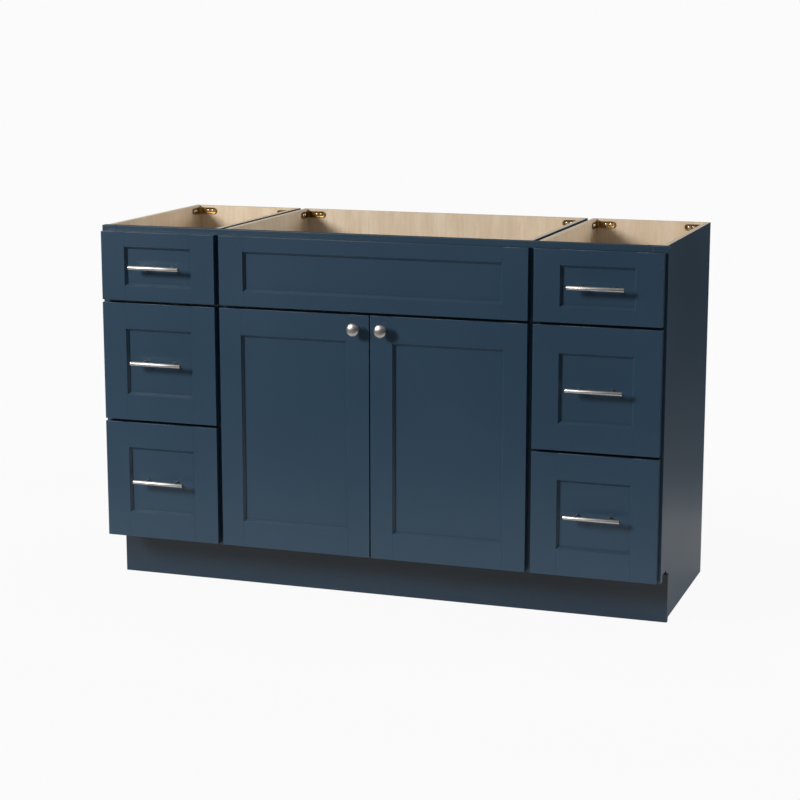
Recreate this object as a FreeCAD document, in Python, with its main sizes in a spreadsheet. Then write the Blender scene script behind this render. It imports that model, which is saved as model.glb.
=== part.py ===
import FreeCAD, Part
import math
import os
import re
import Sketcher
from FreeCAD import Placement, Rotation, Vector

# A bathroom vanity base cabinet: three plywood boxes side by side behind one
# face frame.  A bank of three drawers stands each side of a sink box, which
# has a fixed false front above two doors.
# X runs across the cabinet and Z up from the floor.  Y runs from front to
# back.  The origin is on the floor, at the middle of the overall width and
# depth, pulls included.

doc = FreeCAD.newDocument("vanity")
sheet = doc.addObject("Spreadsheet::Sheet", "Sizes")

SIZES = (
    # whole cabinet
    ("cabinet_width", 1371.6, "across the face frame"),
    ("cabinet_depth", 533.4, "face frame front to box backs"),
    ("cabinet_height", 876.3, "floor to top edge"),
    # face frame
    ("frame_thick", 19.05, "solid wood frame"),
    ("frame_bottom_rise", 114.3, "floor to the underside of the frame"),
    ("end_stile_wide", 38.1, "two outer uprights"),
    ("mid_stile_wide", 50.8, "two uprights between the boxes"),
    ("frame_rail_tall", 38.1, "top and bottom rails"),
    ("row_rail_tall", 25.4, "rails between drawers and under the false front"),
    # boxes
    ("box_panel_thick", 12.7, "plywood sides, backs and bottoms"),
    ("dado_deep", 4.0, "housing in the sides for backs and bottoms"),
    ("box_inset", 6.35, "frame end to the outer face of the box side"),
    ("box_gap", 12.7, "between neighbouring boxes, and between their fronts"),
    ("bank_width", 292.1, "drawer box, and its drawer fronts"),
    ("toe_setback", 82.55, "frame front to toe board"),
    ("toe_board_thick", 12.7, ""),
    ("toe_notch_extra", 6.35, "notch in the box sides, above the toe board"),
    # fronts
    ("front_thick", 19.05, "doors, drawer fronts and false front"),
    ("front_standoff", 2.0, "gap behind a closed front"),
    ("front_top_reveal", 12.7, "frame showing above the fronts"),
    ("front_bottom_reveal", 5.0, "frame showing below the fronts"),
    ("row_gap", 6.35, "between rows of fronts"),
    ("door_gap", 3.2, "between the two doors"),
    ("top_row_tall", 163.5, "top drawer fronts and false front"),
    ("drawer_stile_wide", 65.1, "uprights of a drawer front, bevel and all"),
    ("door_stile_wide", 58.7, "uprights of a door, bevel and all"),
    ("shallow_rail_tall", 39.7, "rails of the top row's fronts"),
    ("deep_rail_tall", 66.7, "rails of the doors and deep drawer fronts"),
    ("front_bevel_wide", 4.8, "slope from a front's face toward its panel"),
    ("front_bevel_deep", 6.4, "face to the foot of the slope"),
    ("inset_panel_thick", 6.35, "flat panel inside each front"),
    ("panel_recess", 7.9, "front face down to the panel"),
    ("panel_groove_deep", 9.5, "groove round the panel"),
    ("panel_play", 0.5, "room for the panel to swell in its groove"),
    # drawer boxes
    ("drawer_wall_thick", 12.7, ""),
    ("drawer_rear_clearance", 65.5, "drawer box to the back of the cabinet"),
    ("drawer_lift", 9.5, "rail to the underside of the drawer box"),
    ("shallow_headroom", 17.5, "top drawer box to the rail above"),
    ("deep_headroom", 29.5, "bottom drawer box to the rail above"),
    ("drawer_bottom_thick", 6.35, ""),
    ("drawer_bottom_lift", 12.7, "underside of box to drawer bottom"),
    ("drawer_groove_deep", 6.0, "groove for the drawer bottom"),
    # ball-bearing slides
    ("slide_wide", 12.7, "drawer wall to its mounting face"),
    ("slide_tall", 45.0, "cabinet member"),
    ("slide_steel", 1.2, ""),
    ("slide_race", 0.7, "ball race between two members"),
    ("slide_setback", 2.0, "frame front to cabinet member"),
    ("slide_lift", 6.0, "underside of drawer box to slide"),
    ("spacer_tall", 60.0, "wood strip behind a slide"),
    # bar pulls
    ("pull_bar_dia", 10.0, ""),
    ("pull_bar_long", 130.2, ""),
    ("pull_post_dia", 7.5, ""),
    ("pull_post_pitch", 76.2, "centre to centre"),
    ("pull_rise", 30.0, "panel to the middle of the bar"),
    ("pull_end_bevel", 0.8, ""),
    # door knobs
    ("knob_head_dia", 31.0, ""),
    ("knob_rise", 30.0, "door face to the top of the knob"),
    ("knob_head_tall", 9.5, ""),
    ("knob_crown_round", 6.0, "top edge of the head"),
    ("knob_rim_round", 3.0, "under edge of the head"),
    ("knob_neck_dia", 12.0, ""),
    ("knob_foot_dia", 18.0, ""),
    ("knob_foot_tall", 3.0, ""),
    ("knob_edge_inset", 31.75, "door edges to the middle of the knob"),
    # concealed hinges
    ("hinge_cup_dia", 35.0, ""),
    ("hinge_cup_deep", 11.5, ""),
    ("hinge_cup_wall", 1.0, ""),
    ("hinge_cup_edge", 3.5, "door edge to the cup's wall"),
    ("hinge_flange_lip", 2.0, "flange past the cup's wall"),
    ("hinge_end_inset", 90.0, "door ends to the middle of the cup"),
    ("hinge_axis_inset", 6.3, "door edge to the turning axis"),
    ("hinge_axis_ahead", 11.5, "frame front to the turning axis"),
    ("hinge_pin_dia", 2.4, ""),
    ("hinge_pin_long", 12.0, ""),
    ("hinge_bore_play", 0.3, "round the cup in its bore"),
    ("hinge_plate_thick", 3.0, ""),
    ("hinge_plate_tall", 50.0, ""),
    ("hinge_arm_tall", 14.0, ""),
    ("hinge_arm_reach", 26.0, "stile edge to the end of the arm"),
    ("hinge_arm_thick", 5.0, ""),
    ("hinge_arm_nose", 0.6, "arm past the frame front"),
    # corner clips
    ("clip_leg_long", 48.0, ""),
    ("clip_tall", 16.0, ""),
    ("clip_thick", 1.5, ""),
    ("clip_drop", 5.3, "top edge of box to clip"),
    ("clip_bend", 2.5, "inside radius of the bend"),
    ("clip_first_hole", 25.0, "corner to hole"),
    ("clip_second_hole", 36.5, "corner to hole"),
    ("clip_end_round", 6.0, "corners of the legs"),
    ("clip_hole_dia", 4.4, ""),
    ("screw_head_dia", 7.6, ""),
    ("screw_head_tall", 1.7, ""),
    ("screw_shank_dia", 3.6, ""),
    # blocks that carry the false front
    ("block_wide", 15.0, ""),
    ("block_clearance", 10.0, "block short of the rails above and below"),
)

VALUE = {}
for row, (alias, value, note) in enumerate(SIZES, start=1):
    sheet.set("A%d" % row, alias)
    sheet.set("B%d" % row, str(value))
    sheet.set("C%d" % row, note)
    sheet.setAlias("B%d" % row, alias)
    VALUE[alias] = value
doc.recompute()

WORD = re.compile(r"[a-z][a-z_]*")
SAME_PLACE = 0.01  # two places this close, in millimetres, count as one
ALONG = 0.9  # an edge runs along an axis when its direction's share of it is over this


def bound(text):
    """Point each size named in a formula at its cell in the sheet."""
    return WORD.sub(lambda hit: "Sizes." + hit.group(0) if hit.group(0) in VALUE else hit.group(0), text)


# Places that several pieces share, as formulas in the sheet's sizes.  Depths
# are measured from the face frame's front and turned into Y by BACK.
PANEL_FACE = "(-front_standoff - front_thick + panel_recess)"
REACH = "(front_standoff + front_thick + max(knob_rise; pull_rise + pull_bar_dia / 2 - panel_recess))"
BACK = "((cabinet_depth - %s) / 2)" % REACH
HALF_SINK = "(cabinet_width / 2 - box_inset - bank_width - box_gap)"
BANK_NEAR = "(%s + box_gap)" % HALF_SINK
BANK_FAR = "(cabinet_width / 2 - box_inset)"
BANK_MIDDLE = "(%s + bank_width / 2)" % BANK_NEAR
MID_STILE = "(%s + box_gap / 2)" % HALF_SINK
SINK_OPENING = "(%s - mid_stile_wide / 2)" % MID_STILE
BANK_OPENING_NEAR = "(%s + mid_stile_wide / 2)" % MID_STILE
BANK_OPENING_FAR = "(cabinet_width / 2 - end_stile_wide)"
RAIL_TOP = "(cabinet_height - frame_rail_tall)"
RAIL_BOTTOM = "(frame_bottom_rise + frame_rail_tall)"
FLOOR_UNDER = "(%s - box_panel_thick)" % RAIL_BOTTOM
TOE_NOTCH = "(frame_bottom_rise + toe_notch_extra)"
BACK_FACE = "(cabinet_depth - box_panel_thick)"
FRONTS_BACK = "(-front_standoff)"
FRONTS_FACE = "(-front_standoff - front_thick)"
FRONTS_TOP = "(cabinet_height - front_top_reveal)"
FRONTS_BOTTOM = "(frame_bottom_rise + front_bottom_reveal)"
TOP_ROW_UNDER = "(%s - top_row_tall)" % FRONTS_TOP
LOWER_TOP = "(%s - row_gap)" % TOP_ROW_UNDER
DEEP_TALL = "((%s - %s - row_gap) / 2)" % (LOWER_TOP, FRONTS_BOTTOM)
UPPER_RAIL = "(%s - row_gap / 2)" % TOP_ROW_UNDER
LOWER_RAIL = "(%s + %s + row_gap / 2)" % (FRONTS_BOTTOM, DEEP_TALL)
TOP_OPENING_LOW = "(%s + row_rail_tall / 2)" % UPPER_RAIL
MIDDLE_OPENING_LOW = "(%s + row_rail_tall / 2)" % LOWER_RAIL
BOTTOM_OPENING_HIGH = "(%s - row_rail_tall / 2)" % LOWER_RAIL
DRAWER_DEEP = "(%s - %s - drawer_rear_clearance)" % (BACK_FACE, FRONTS_BACK)
SHALLOW_BOX = "(%s - %s - drawer_lift - shallow_headroom)" % (RAIL_TOP, TOP_OPENING_LOW)
DEEP_BOX = "(%s - %s - drawer_lift - deep_headroom)" % (BOTTOM_OPENING_HIGH, RAIL_BOTTOM)
SLIDE_STEP = "(slide_steel + slide_race)"
MEMBER_WIDE = "(slide_wide - 2 * %s)" % SLIDE_STEP
CUP_INSET = "(hinge_cup_edge + hinge_cup_dia / 2)"

CLIP_HOLES = ("clip_first_hole", "clip_second_hole")

NODES = []


def place(item, x, y, z):
    """Bind where a piece stands: x and z as given, y from the frame's front."""
    item.setExpression("Placement.Base.x", bound(x))
    item.setExpression("Placement.Base.y", bound("%s - %s" % (y, BACK)))
    item.setExpression("Placement.Base.z", bound(z))


def block(name, x, y, z):
    """A rectangular piece between two formulas in each direction."""
    item = doc.addObject("Part::Box", name)
    item.setExpression("Length", bound("%s - %s" % (x[1], x[0])))
    item.setExpression("Width", bound("%s - %s" % (y[1], y[0])))
    item.setExpression("Height", bound("%s - %s" % (z[1], z[0])))
    place(item, x[0], y[0], z[0])
    return item


def mirrored(span, side):
    """A span in X, kept for the right-hand side and turned over for the left."""
    if side > 0:
        return span
    return ("-%s" % span[1], "-%s" % span[0])


def signed(side, formula):
    return formula if side > 0 else "-%s" % formula


def cut(name, base, tools):
    """The base with one or more pieces taken away."""
    item = doc.addObject("Part::Cut", name)
    item.Base = base
    item.Tool = tools[0] if len(tools) == 1 else joined(name + "_tools", tools)
    return item


def joined(name, pieces):
    item = doc.addObject("Part::MultiFuse", name)
    item.Shapes = pieces
    item.Refine = True
    return item


def node(label, pieces):
    """Collect a node's solids under the name of its file."""
    item = doc.addObject("Part::Compound", label)
    item.Links = pieces
    item.Label = label
    NODES.append(item)
    return item


def new_body(name):
    return doc.addObject("PartDesign::Body", name)


def new_sketch(body, plane, name):
    sketch = body.newObject("Sketcher::SketchObject", name)
    feature = [item for item in body.Origin.OriginFeatures if item.Role == plane][0]
    sketch.AttachmentSupport = [(feature, "")]
    sketch.MapMode = "FlatFace"
    return sketch


def fix_point(sketch, line, end, across, up):
    """Hold one end of a line at two distances from the sketch's origin."""
    for kind, formula in (("DistanceX", across), ("DistanceY", up)):
        index = sketch.addConstraint(Sketcher.Constraint(kind, -1, 1, line, end, 1.0))
        sketch.setExpression("Constraints[%d]" % index, bound(formula))


def outline(sketch, corners):
    """A closed outline through corners given as pairs of formulas.

    The lines start in rough places, no two alike, and the distances pull
    each corner to where it belongs.
    """
    here = [Vector(index * 2.0, index * index + 1.0, 0) for index in range(len(corners))]
    lines = []
    for index in range(len(corners)):
        following = here[(index + 1) % len(corners)]
        lines.append(sketch.addGeometry(Part.LineSegment(here[index], following), False))
    for index, line in enumerate(lines):
        after = lines[(index + 1) % len(lines)]
        sketch.addConstraint(Sketcher.Constraint("Coincident", line, 2, after, 1))
    for line, (across, up) in zip(lines, corners):
        fix_point(sketch, line, 1, across, up)


def ring(sketch, across, up, diameter):
    circle = sketch.addGeometry(Part.Circle(Vector(1, 1, 0), Vector(0, 0, 1), 2.0), False)
    fix_point(sketch, circle, 3, across, up)
    index = sketch.addConstraint(Sketcher.Constraint("Diameter", circle, 4.0))
    sketch.setExpression("Constraints[%d]" % index, bound(diameter))


def pad(body, sketch, name, length, backwards=False):
    item = body.newObject("PartDesign::Pad", name)
    item.Profile = sketch
    item.setExpression("Length", bound(length))
    item.Reversed = backwards
    body.Tip = item
    return item


def pocket(body, sketch, name, depth, backwards=False):
    item = body.newObject("PartDesign::Pocket", name)
    item.Profile = sketch
    item.setExpression("Length", bound(depth))
    item.Reversed = backwards
    body.Tip = item
    return item


def revolve(body, sketch, name):
    item = body.newObject("PartDesign::Revolution", name)
    item.Profile = sketch
    item.ReferenceAxis = (sketch, ["V_Axis"])
    item.Angle = 360
    body.Tip = item
    return item


# ---------------------------------------------------------------- face frame

def frame_stile(name, side, span):
    return block(name, mirrored(span, side), ("0", "frame_thick"), ("frame_bottom_rise", "cabinet_height"))


def frame_parts():
    depth = ("0", "frame_thick")
    end_span = (BANK_OPENING_FAR, "(cabinet_width / 2)")
    node("face_frame_end_stiles", [frame_stile("end_stile_left", -1, end_span),
                                   frame_stile("end_stile_right", 1, end_span)])
    across = ("-%s" % BANK_OPENING_FAR, BANK_OPENING_FAR)
    node("face_frame_top_rail", [block("top_rail", across, depth, (RAIL_TOP, "cabinet_height"))])
    node("face_frame_bottom_rail", [block("bottom_rail", across, depth, ("frame_bottom_rise", RAIL_BOTTOM))])
    middle = []
    shelves = []
    for side, hand in ((-1, "left"), (1, "right")):
        span = mirrored((SINK_OPENING, BANK_OPENING_NEAR), side)
        middle.append(block("mid_stile_" + hand, span, depth, (RAIL_BOTTOM, RAIL_TOP)))
        opening = mirrored((BANK_OPENING_NEAR, BANK_OPENING_FAR), side)
        for level, centre in (("upper", UPPER_RAIL), ("lower", LOWER_RAIL)):
            tall = ("(%s - row_rail_tall / 2)" % centre, "(%s + row_rail_tall / 2)" % centre)
            shelves.append(block("drawer_rail_%s_%s" % (hand, level), opening, depth, tall))
    node("face_frame_mid_stiles", middle)
    node("face_frame_drawer_rails", shelves)
    tall = ("(%s - row_rail_tall / 2)" % UPPER_RAIL, "(%s + row_rail_tall / 2)" % UPPER_RAIL)
    node("face_frame_sink_rail", [block("sink_rail", ("-%s" % SINK_OPENING, SINK_OPENING), depth, tall)])


# --------------------------------------------------------------------- boxes

def box_side(name, inner_face, inside):
    """One plywood side with its toe notch and housings for bottom and back.

    It is drawn on the inner face, forward edge at zero and floor at zero.
    inside is +1 where the inside of the box lies towards +X.
    """
    body = new_body(name)
    run = "(cabinet_depth - frame_thick)"
    notch = "(toe_setback + toe_board_thick - frame_thick)"
    back = "(%s - frame_thick)" % BACK_FACE
    board = new_sketch(body, "YZ_Plane", name + "_outline")
    outline(board, [(notch, "0"), (run, "0"), (run, "cabinet_height"), ("0", "cabinet_height"),
                    ("0", TOE_NOTCH), (notch, TOE_NOTCH)])
    pad(body, board, name + "_board", "box_panel_thick", inside > 0)
    floor = new_sketch(body, "YZ_Plane", name + "_floor_line")
    outline(floor, [("0", FLOOR_UNDER), (back, FLOOR_UNDER), (back, RAIL_BOTTOM), ("0", RAIL_BOTTOM)])
    pocket(body, floor, name + "_dado", "dado_deep", inside < 0)
    rear = new_sketch(body, "YZ_Plane", name + "_back_line")
    outline(rear, [(back, FLOOR_UNDER), (run, FLOOR_UNDER), (run, "cabinet_height"), (back, "cabinet_height")])
    pocket(body, rear, name + "_rabbet", "dado_deep", inside < 0)
    place(body, inner_face, "frame_thick", "0")
    return body


def box_floor_and_back(name, across):
    """The bottom and the back, both let into the sides."""
    left, right = across
    let_in = ("(%s + box_panel_thick - dado_deep)" % left, "(%s - box_panel_thick + dado_deep)" % right)
    floor = block(name + "_floor_board", let_in, ("frame_thick", BACK_FACE), (FLOOR_UNDER, RAIL_BOTTOM))
    back = block(name + "_back_board", let_in, (BACK_FACE, "cabinet_depth"), (FLOOR_UNDER, "cabinet_height"))
    return floor, back


def box_parts():
    outer = []
    inner = []
    floors = []
    backs = []
    for side, hand in ((-1, "left"), (1, "right")):
        outer.append(box_side(hand + "_outer_side", signed(side, "(%s - box_panel_thick)" % BANK_FAR), -side))
        inner.append(box_side(hand + "_inner_side", signed(side, "(%s + box_panel_thick)" % BANK_NEAR), side))
        floor, back = box_floor_and_back(hand + "_box", mirrored((BANK_NEAR, BANK_FAR), side))
        floors.append(floor)
        backs.append(back)
    node("drawer_box_outer_sides", outer)
    node("drawer_box_inner_sides", inner)
    node("drawer_box_floors", floors)
    node("drawer_box_backs", backs)
    face = "(%s - box_panel_thick)" % HALF_SINK
    node("sink_box_sides", [box_side("sink_left_side", "-%s" % face, 1), box_side("sink_right_side", face, -1)])
    floor, back = box_floor_and_back("sink_box", ("-%s" % HALF_SINK, HALF_SINK))
    node("sink_box_floor", [floor])
    node("sink_box_back", [back])
    depth = ("toe_setback", "(toe_setback + toe_board_thick)")
    across = ("(-cabinet_width / 2)", "(cabinet_width / 2)")
    node("toe_board", [block("toe_kick", across, depth, ("0", "frame_bottom_rise"))])


# -------------------------------------------------------------- corner clips

def edges_where(feature, test):
    """Names of a feature's edges whose middle, first direction and length pass a test."""
    names = []
    for index, edge in enumerate(feature.Shape.Edges, start=1):
        if test(edge.CenterOfMass, edge.tangentAt(edge.FirstParameter), edge.Length):
            names.append("Edge%d" % index)
    return names


def rounded(body, feature, name, radius, test):
    doc.recompute()
    item = body.newObject("PartDesign::Fillet", name)
    item.Base = (feature, edges_where(feature, test))
    item.setExpression("Radius", bound(radius))
    body.Tip = item
    return item


def corner_clip(name):
    """An angle of strip metal, its bend at the origin, legs on +X and +Y."""
    body = new_body(name)
    angle = new_sketch(body, "XY_Plane", name + "_angle")
    outline(angle, [("0", "0"), ("clip_leg_long", "0"), ("clip_leg_long", "clip_thick"),
                    ("clip_thick", "clip_thick"), ("clip_thick", "clip_leg_long"), ("0", "clip_leg_long")])
    strip = pad(body, angle, name + "_strip", "clip_tall")
    half = VALUE["clip_leg_long"] / 2
    thick = VALUE["clip_thick"]
    bend = rounded(body, strip, name + "_inside_bend", "clip_bend",
                   lambda at, way, long: abs(way.z) > ALONG and at.x + at.y - 2 * thick < SAME_PLACE < at.x)
    heel = rounded(body, bend, name + "_outside_bend", "clip_bend + clip_thick",
                   lambda at, way, long: abs(way.z) > ALONG and at.x + at.y < SAME_PLACE)
    rounded(body, heel, name + "_rounded_ends", "clip_end_round",
            lambda at, way, long: (at.x > half and abs(way.y) > ALONG) or (at.y > half and abs(way.x) > ALONG))
    for plane, backwards in (("XZ_Plane", False), ("YZ_Plane", True)):
        holes = new_sketch(body, plane, "%s_holes_%s" % (name, plane[:2]))
        for hole in CLIP_HOLES:
            ring(holes, hole, "clip_tall / 2", "clip_hole_dia")
        pocket(body, holes, "%s_drilled_%s" % (name, plane[:2]), "clip_thick", backwards)
    return body


def clip_screw(name):
    """A pan head and the stub of shank that fills the clip's hole, along +Z."""
    shank = doc.addObject("Part::Cylinder", name + "_shank")
    shank.setExpression("Radius", bound("screw_shank_dia / 2"))
    shank.setExpression("Height", bound("clip_thick"))
    head = doc.addObject("Part::Cylinder", name + "_head")
    head.setExpression("Radius", bound("screw_head_dia / 2"))
    head.setExpression("Height", bound("screw_head_tall"))
    head.setExpression("Placement.Base.z", bound("clip_thick"))
    return joined(name, [shank, head])


def clips_and_screws():
    """Two clips in each box, in the back corners near the top edge."""
    inside = "(%s + box_panel_thick)" % BANK_NEAR
    outside = "(%s - box_panel_thick)" % BANK_FAR
    sink = "(%s - box_panel_thick)" % HALF_SINK
    low = "(cabinet_height - clip_drop - clip_tall)"
    middle = "(cabinet_height - clip_drop - clip_tall / 2)"
    corners = (("-%s" % outside, 1), ("-%s" % inside, -1), ("-%s" % sink, 1),
               (sink, -1), (inside, 1), (outside, -1))
    clips = []
    screws = []
    for number, (corner, into) in enumerate(corners, start=1):
        clip = corner_clip("clip_%d" % number)
        clip.Placement = Placement(Vector(), Rotation(Vector(0, 0, 1), -90 if into > 0 else 180))
        place(clip, corner, BACK_FACE, low)
        clips.append(clip)
        for hole in CLIP_HOLES:
            back_screw = clip_screw("back_%s_%d" % (hole, number))
            back_screw.Placement = Placement(Vector(), Rotation(Vector(1, 0, 0), 90))
            place(back_screw, "%s + %d * %s" % (corner, into, hole), BACK_FACE, middle)
            side_screw = clip_screw("side_%s_%d" % (hole, number))
            side_screw.Placement = Placement(Vector(), Rotation(Vector(0, 1, 0), 90 * into))
            place(side_screw, corner, "(%s - %s)" % (BACK_FACE, hole), middle)
            screws.extend([back_screw, side_screw])
    node("corner_clips", clips)
    node("corner_clip_screws", screws)


# ------------------------------------------------------------- shaker fronts

def bevel_tool(name, left, right, low, high):
    """What the inner bevels take away, mitred at the corners of the opening."""
    item = doc.addObject("Part::Wedge", name)
    item.Xmin = 0
    item.Ymin = 0
    item.Zmin = 0
    item.setExpression("Ymax", bound("front_bevel_deep"))
    for axis, near, far in (("X", left, right), ("Z", low, high)):
        item.setExpression(axis + "2min", bound("front_bevel_wide"))
        item.setExpression(axis + "max", bound("%s - %s + 2 * front_bevel_wide" % (far, near)))
        item.setExpression(axis + "2max", bound("%s - %s + front_bevel_wide" % (far, near)))
    place(item, "%s - front_bevel_wide" % left, FRONTS_FACE, "%s - front_bevel_wide" % low)
    return item


def shaker_front(name, across, up, stile, rail):
    """Two grooved stiles, two tongued rails and the flat panel they hold."""
    depth = (FRONTS_FACE, FRONTS_BACK)
    slot_depth = (PANEL_FACE, "(%s + inset_panel_thick)" % PANEL_FACE)
    left, right = across
    low, high = up
    inner_left = "(%s + %s)" % (left, stile)
    inner_right = "(%s - %s)" % (right, stile)
    inner_low = "(%s + %s)" % (low, rail)
    inner_high = "(%s - %s)" % (high, rail)
    groove_left = "(%s - panel_groove_deep)" % inner_left
    groove_right = "(%s + panel_groove_deep)" % inner_right
    groove_low = "(%s - panel_groove_deep)" % inner_low
    groove_high = "(%s + panel_groove_deep)" % inner_high
    bevel = bevel_tool(name + "_bevel", inner_left, inner_right, inner_low, inner_high)
    pieces = []
    for hand, span, slot in (("left", (left, inner_left), (groove_left, inner_left)),
                             ("right", (inner_right, right), (inner_right, groove_right))):
        board = block("%s_%s_stile_board" % (name, hand), span, depth, up)
        groove = block("%s_%s_stile_groove" % (name, hand), slot, slot_depth, up)
        pieces.append(cut("%s_%s_stile" % (name, hand), board, [groove, bevel]))
    for level, span, slot, tongue in (("lower", (low, inner_low), (groove_low, inner_low), (low, groove_low)),
                                      ("upper", (inner_high, high), (inner_high, groove_high),
                                       (groove_high, high))):
        stem = "%s_%s_rail" % (name, level)
        board = block(stem + "_board", (inner_left, inner_right), depth, span)
        groove = block(stem + "_groove", (inner_left, inner_right), slot_depth, slot)
        tongues = [block(stem + "_left_tongue", (groove_left, inner_left), slot_depth, tongue),
                   block(stem + "_right_tongue", (inner_right, groove_right), slot_depth, tongue)]
        pieces.append(joined(stem, [cut(stem + "_shaped", board, [groove, bevel])] + tongues))
    panel_across = ("(%s + panel_play)" % groove_left, "(%s - panel_play)" % groove_right)
    panel_up = ("(%s + panel_play)" % groove_low, "(%s - panel_play)" % groove_high)
    pieces.append(block(name + "_panel", panel_across, slot_depth, panel_up))
    return pieces


def bar_pull(name, centre, height):
    """A round bar on two posts that stand on the front's flat panel."""
    body = new_body(name + "_bar")
    section = new_sketch(body, "YZ_Plane", name + "_section")
    ring(section, "0", "0", "pull_bar_dia")
    rod = pad(body, section, name + "_rod", "pull_bar_long")
    doc.recompute()
    bevel = body.newObject("PartDesign::Chamfer", name + "_end_bevels")
    bevel.Base = (rod, edges_where(rod, lambda at, way, long: abs(way.x) < SAME_PLACE))
    bevel.setExpression("Size", bound("pull_end_bevel"))
    body.Tip = bevel
    axis = "(%s - pull_rise)" % PANEL_FACE
    place(body, "%s - pull_bar_long / 2" % centre, axis, height)
    pieces = [body]
    for hand, sign in (("left", "-"), ("right", "+")):
        post = doc.addObject("Part::Cylinder", "%s_%s_post_round" % (name, hand))
        post.setExpression("Radius", bound("pull_post_dia / 2"))
        post.setExpression("Height", bound("pull_rise"))
        post.Placement = Placement(Vector(), Rotation(Vector(1, 0, 0), -90))
        middle = "(%s %s pull_post_pitch / 2)" % (centre, sign)
        place(post, middle, axis, height)
        saddle = doc.addObject("Part::Cylinder", "%s_%s_saddle" % (name, hand))
        saddle.setExpression("Radius", bound("pull_bar_dia / 2"))
        saddle.setExpression("Height", bound("pull_post_dia * 2"))
        saddle.Placement = Placement(Vector(), Rotation(Vector(0, 1, 0), 90))
        place(saddle, "%s - pull_post_dia" % middle, axis, height)
        pieces.append(cut("%s_%s_post" % (name, hand), post, [saddle]))
    return pieces


# ------------------------------------------------------------------- drawers

def drawer_box(name, across, low, tall):
    """Two sides, a front and a back, all grooved for a thin bottom."""
    front = FRONTS_BACK
    back = "(%s + %s)" % (FRONTS_BACK, DRAWER_DEEP)
    slot_up = ("(%s + drawer_bottom_lift)" % low, "(%s + drawer_bottom_lift + drawer_bottom_thick)" % low)
    up = (low, "(%s + %s)" % (low, tall))
    left, right = across
    inner = ("(%s + drawer_wall_thick)" % left, "(%s - drawer_wall_thick)" % right)
    grooved = ("(%s - drawer_groove_deep)" % inner[0], "(%s + drawer_groove_deep)" % inner[1])
    inner_front = "(%s + drawer_wall_thick)" % front
    inner_back = "(%s - drawer_wall_thick)" % back
    grooved_front = "(%s - drawer_groove_deep)" % inner_front
    grooved_back = "(%s + drawer_groove_deep)" % inner_back
    pieces = []
    for hand, span, slot in (("left", (left, inner[0]), (grooved[0], inner[0])),
                             ("right", (inner[1], right), (inner[1], grooved[1]))):
        board = block("%s_%s_wall_board" % (name, hand), span, (front, back), up)
        groove = block("%s_%s_wall_groove" % (name, hand), slot, (grooved_front, grooved_back), slot_up)
        pieces.append(cut("%s_%s_wall" % (name, hand), board, [groove]))
    for end, span, slot in (("front", (front, inner_front), (grooved_front, inner_front)),
                            ("back", (inner_back, back), (inner_back, grooved_back))):
        board = block("%s_%s_wall_board" % (name, end), inner, span, up)
        groove = block("%s_%s_wall_groove" % (name, end), inner, slot, slot_up)
        pieces.append(cut("%s_%s_wall" % (name, end), board, [groove]))
    pieces.append(block(name + "_bottom", grooved, (grooved_front, grooved_back), slot_up))
    return pieces


def channel(name, web, opens, tall, low, front, long):
    """A folded steel channel running back from front, open towards +X or -X."""
    body = new_body(name)
    section = new_sketch(body, "XZ_Plane", name + "_section")
    lip = MEMBER_WIDE
    steel = "slide_steel"
    top = "(%s - slide_steel)" % tall
    outline(section, [("0", "0"), (lip, "0"), (lip, steel), (steel, steel), (steel, top), (lip, top),
                      (lip, tall), ("0", tall)])
    pad(body, section, name + "_run", long, opens > 0)
    if opens < 0:
        body.Placement = Placement(Vector(), Rotation(Vector(0, 0, 1), 180))
    place(body, web, front, low)
    return body


def drawer_slides(name, walls, box_low):
    """Three nested members each side: cabinet, middle and drawer."""
    step = SLIDE_STEP
    low = "(%s + slide_lift)" % box_low
    middle_tall = "(slide_tall - 2 * %s)" % step
    drawer_tall = "(slide_tall - 4 * %s)" % step
    cabinet = []
    middle = []
    drawer = []
    for hand, wall, opens in (("left", walls[0], 1), ("right", walls[1], -1)):
        stem = "%s_%s" % (name, hand)
        cabinet.append(channel(stem + "_cabinet_member", wall, opens, "slide_tall", low,
                               "slide_setback", DRAWER_DEEP))
        middle.append(channel(stem + "_middle_member", "(%s + %d * %s)" % (wall, opens, step), opens,
                              middle_tall, "(%s + %s)" % (low, step),
                              "(2 * slide_setback)", "(%s - 4 * slide_setback)" % DRAWER_DEEP))
        drawer.append(channel(stem + "_drawer_member", "(%s + %d * slide_wide)" % (wall, opens), -opens,
                              drawer_tall, "(%s + 2 * %s)" % (low, step),
                              "0", "(%s - front_standoff)" % DRAWER_DEEP))
    return cabinet, middle, drawer


def slide_spacers(name, near, far, box_low):
    """Wood strips that bring the slides level with the face frame's opening."""
    low = "(%s + slide_lift + slide_tall / 2 - spacer_tall / 2)" % box_low
    up = (low, "(%s + spacer_tall)" % low)
    depth = ("frame_thick", BACK_FACE)
    return [block(name + "_near_spacer", near, depth, up), block(name + "_far_spacer", far, depth, up)]


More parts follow.
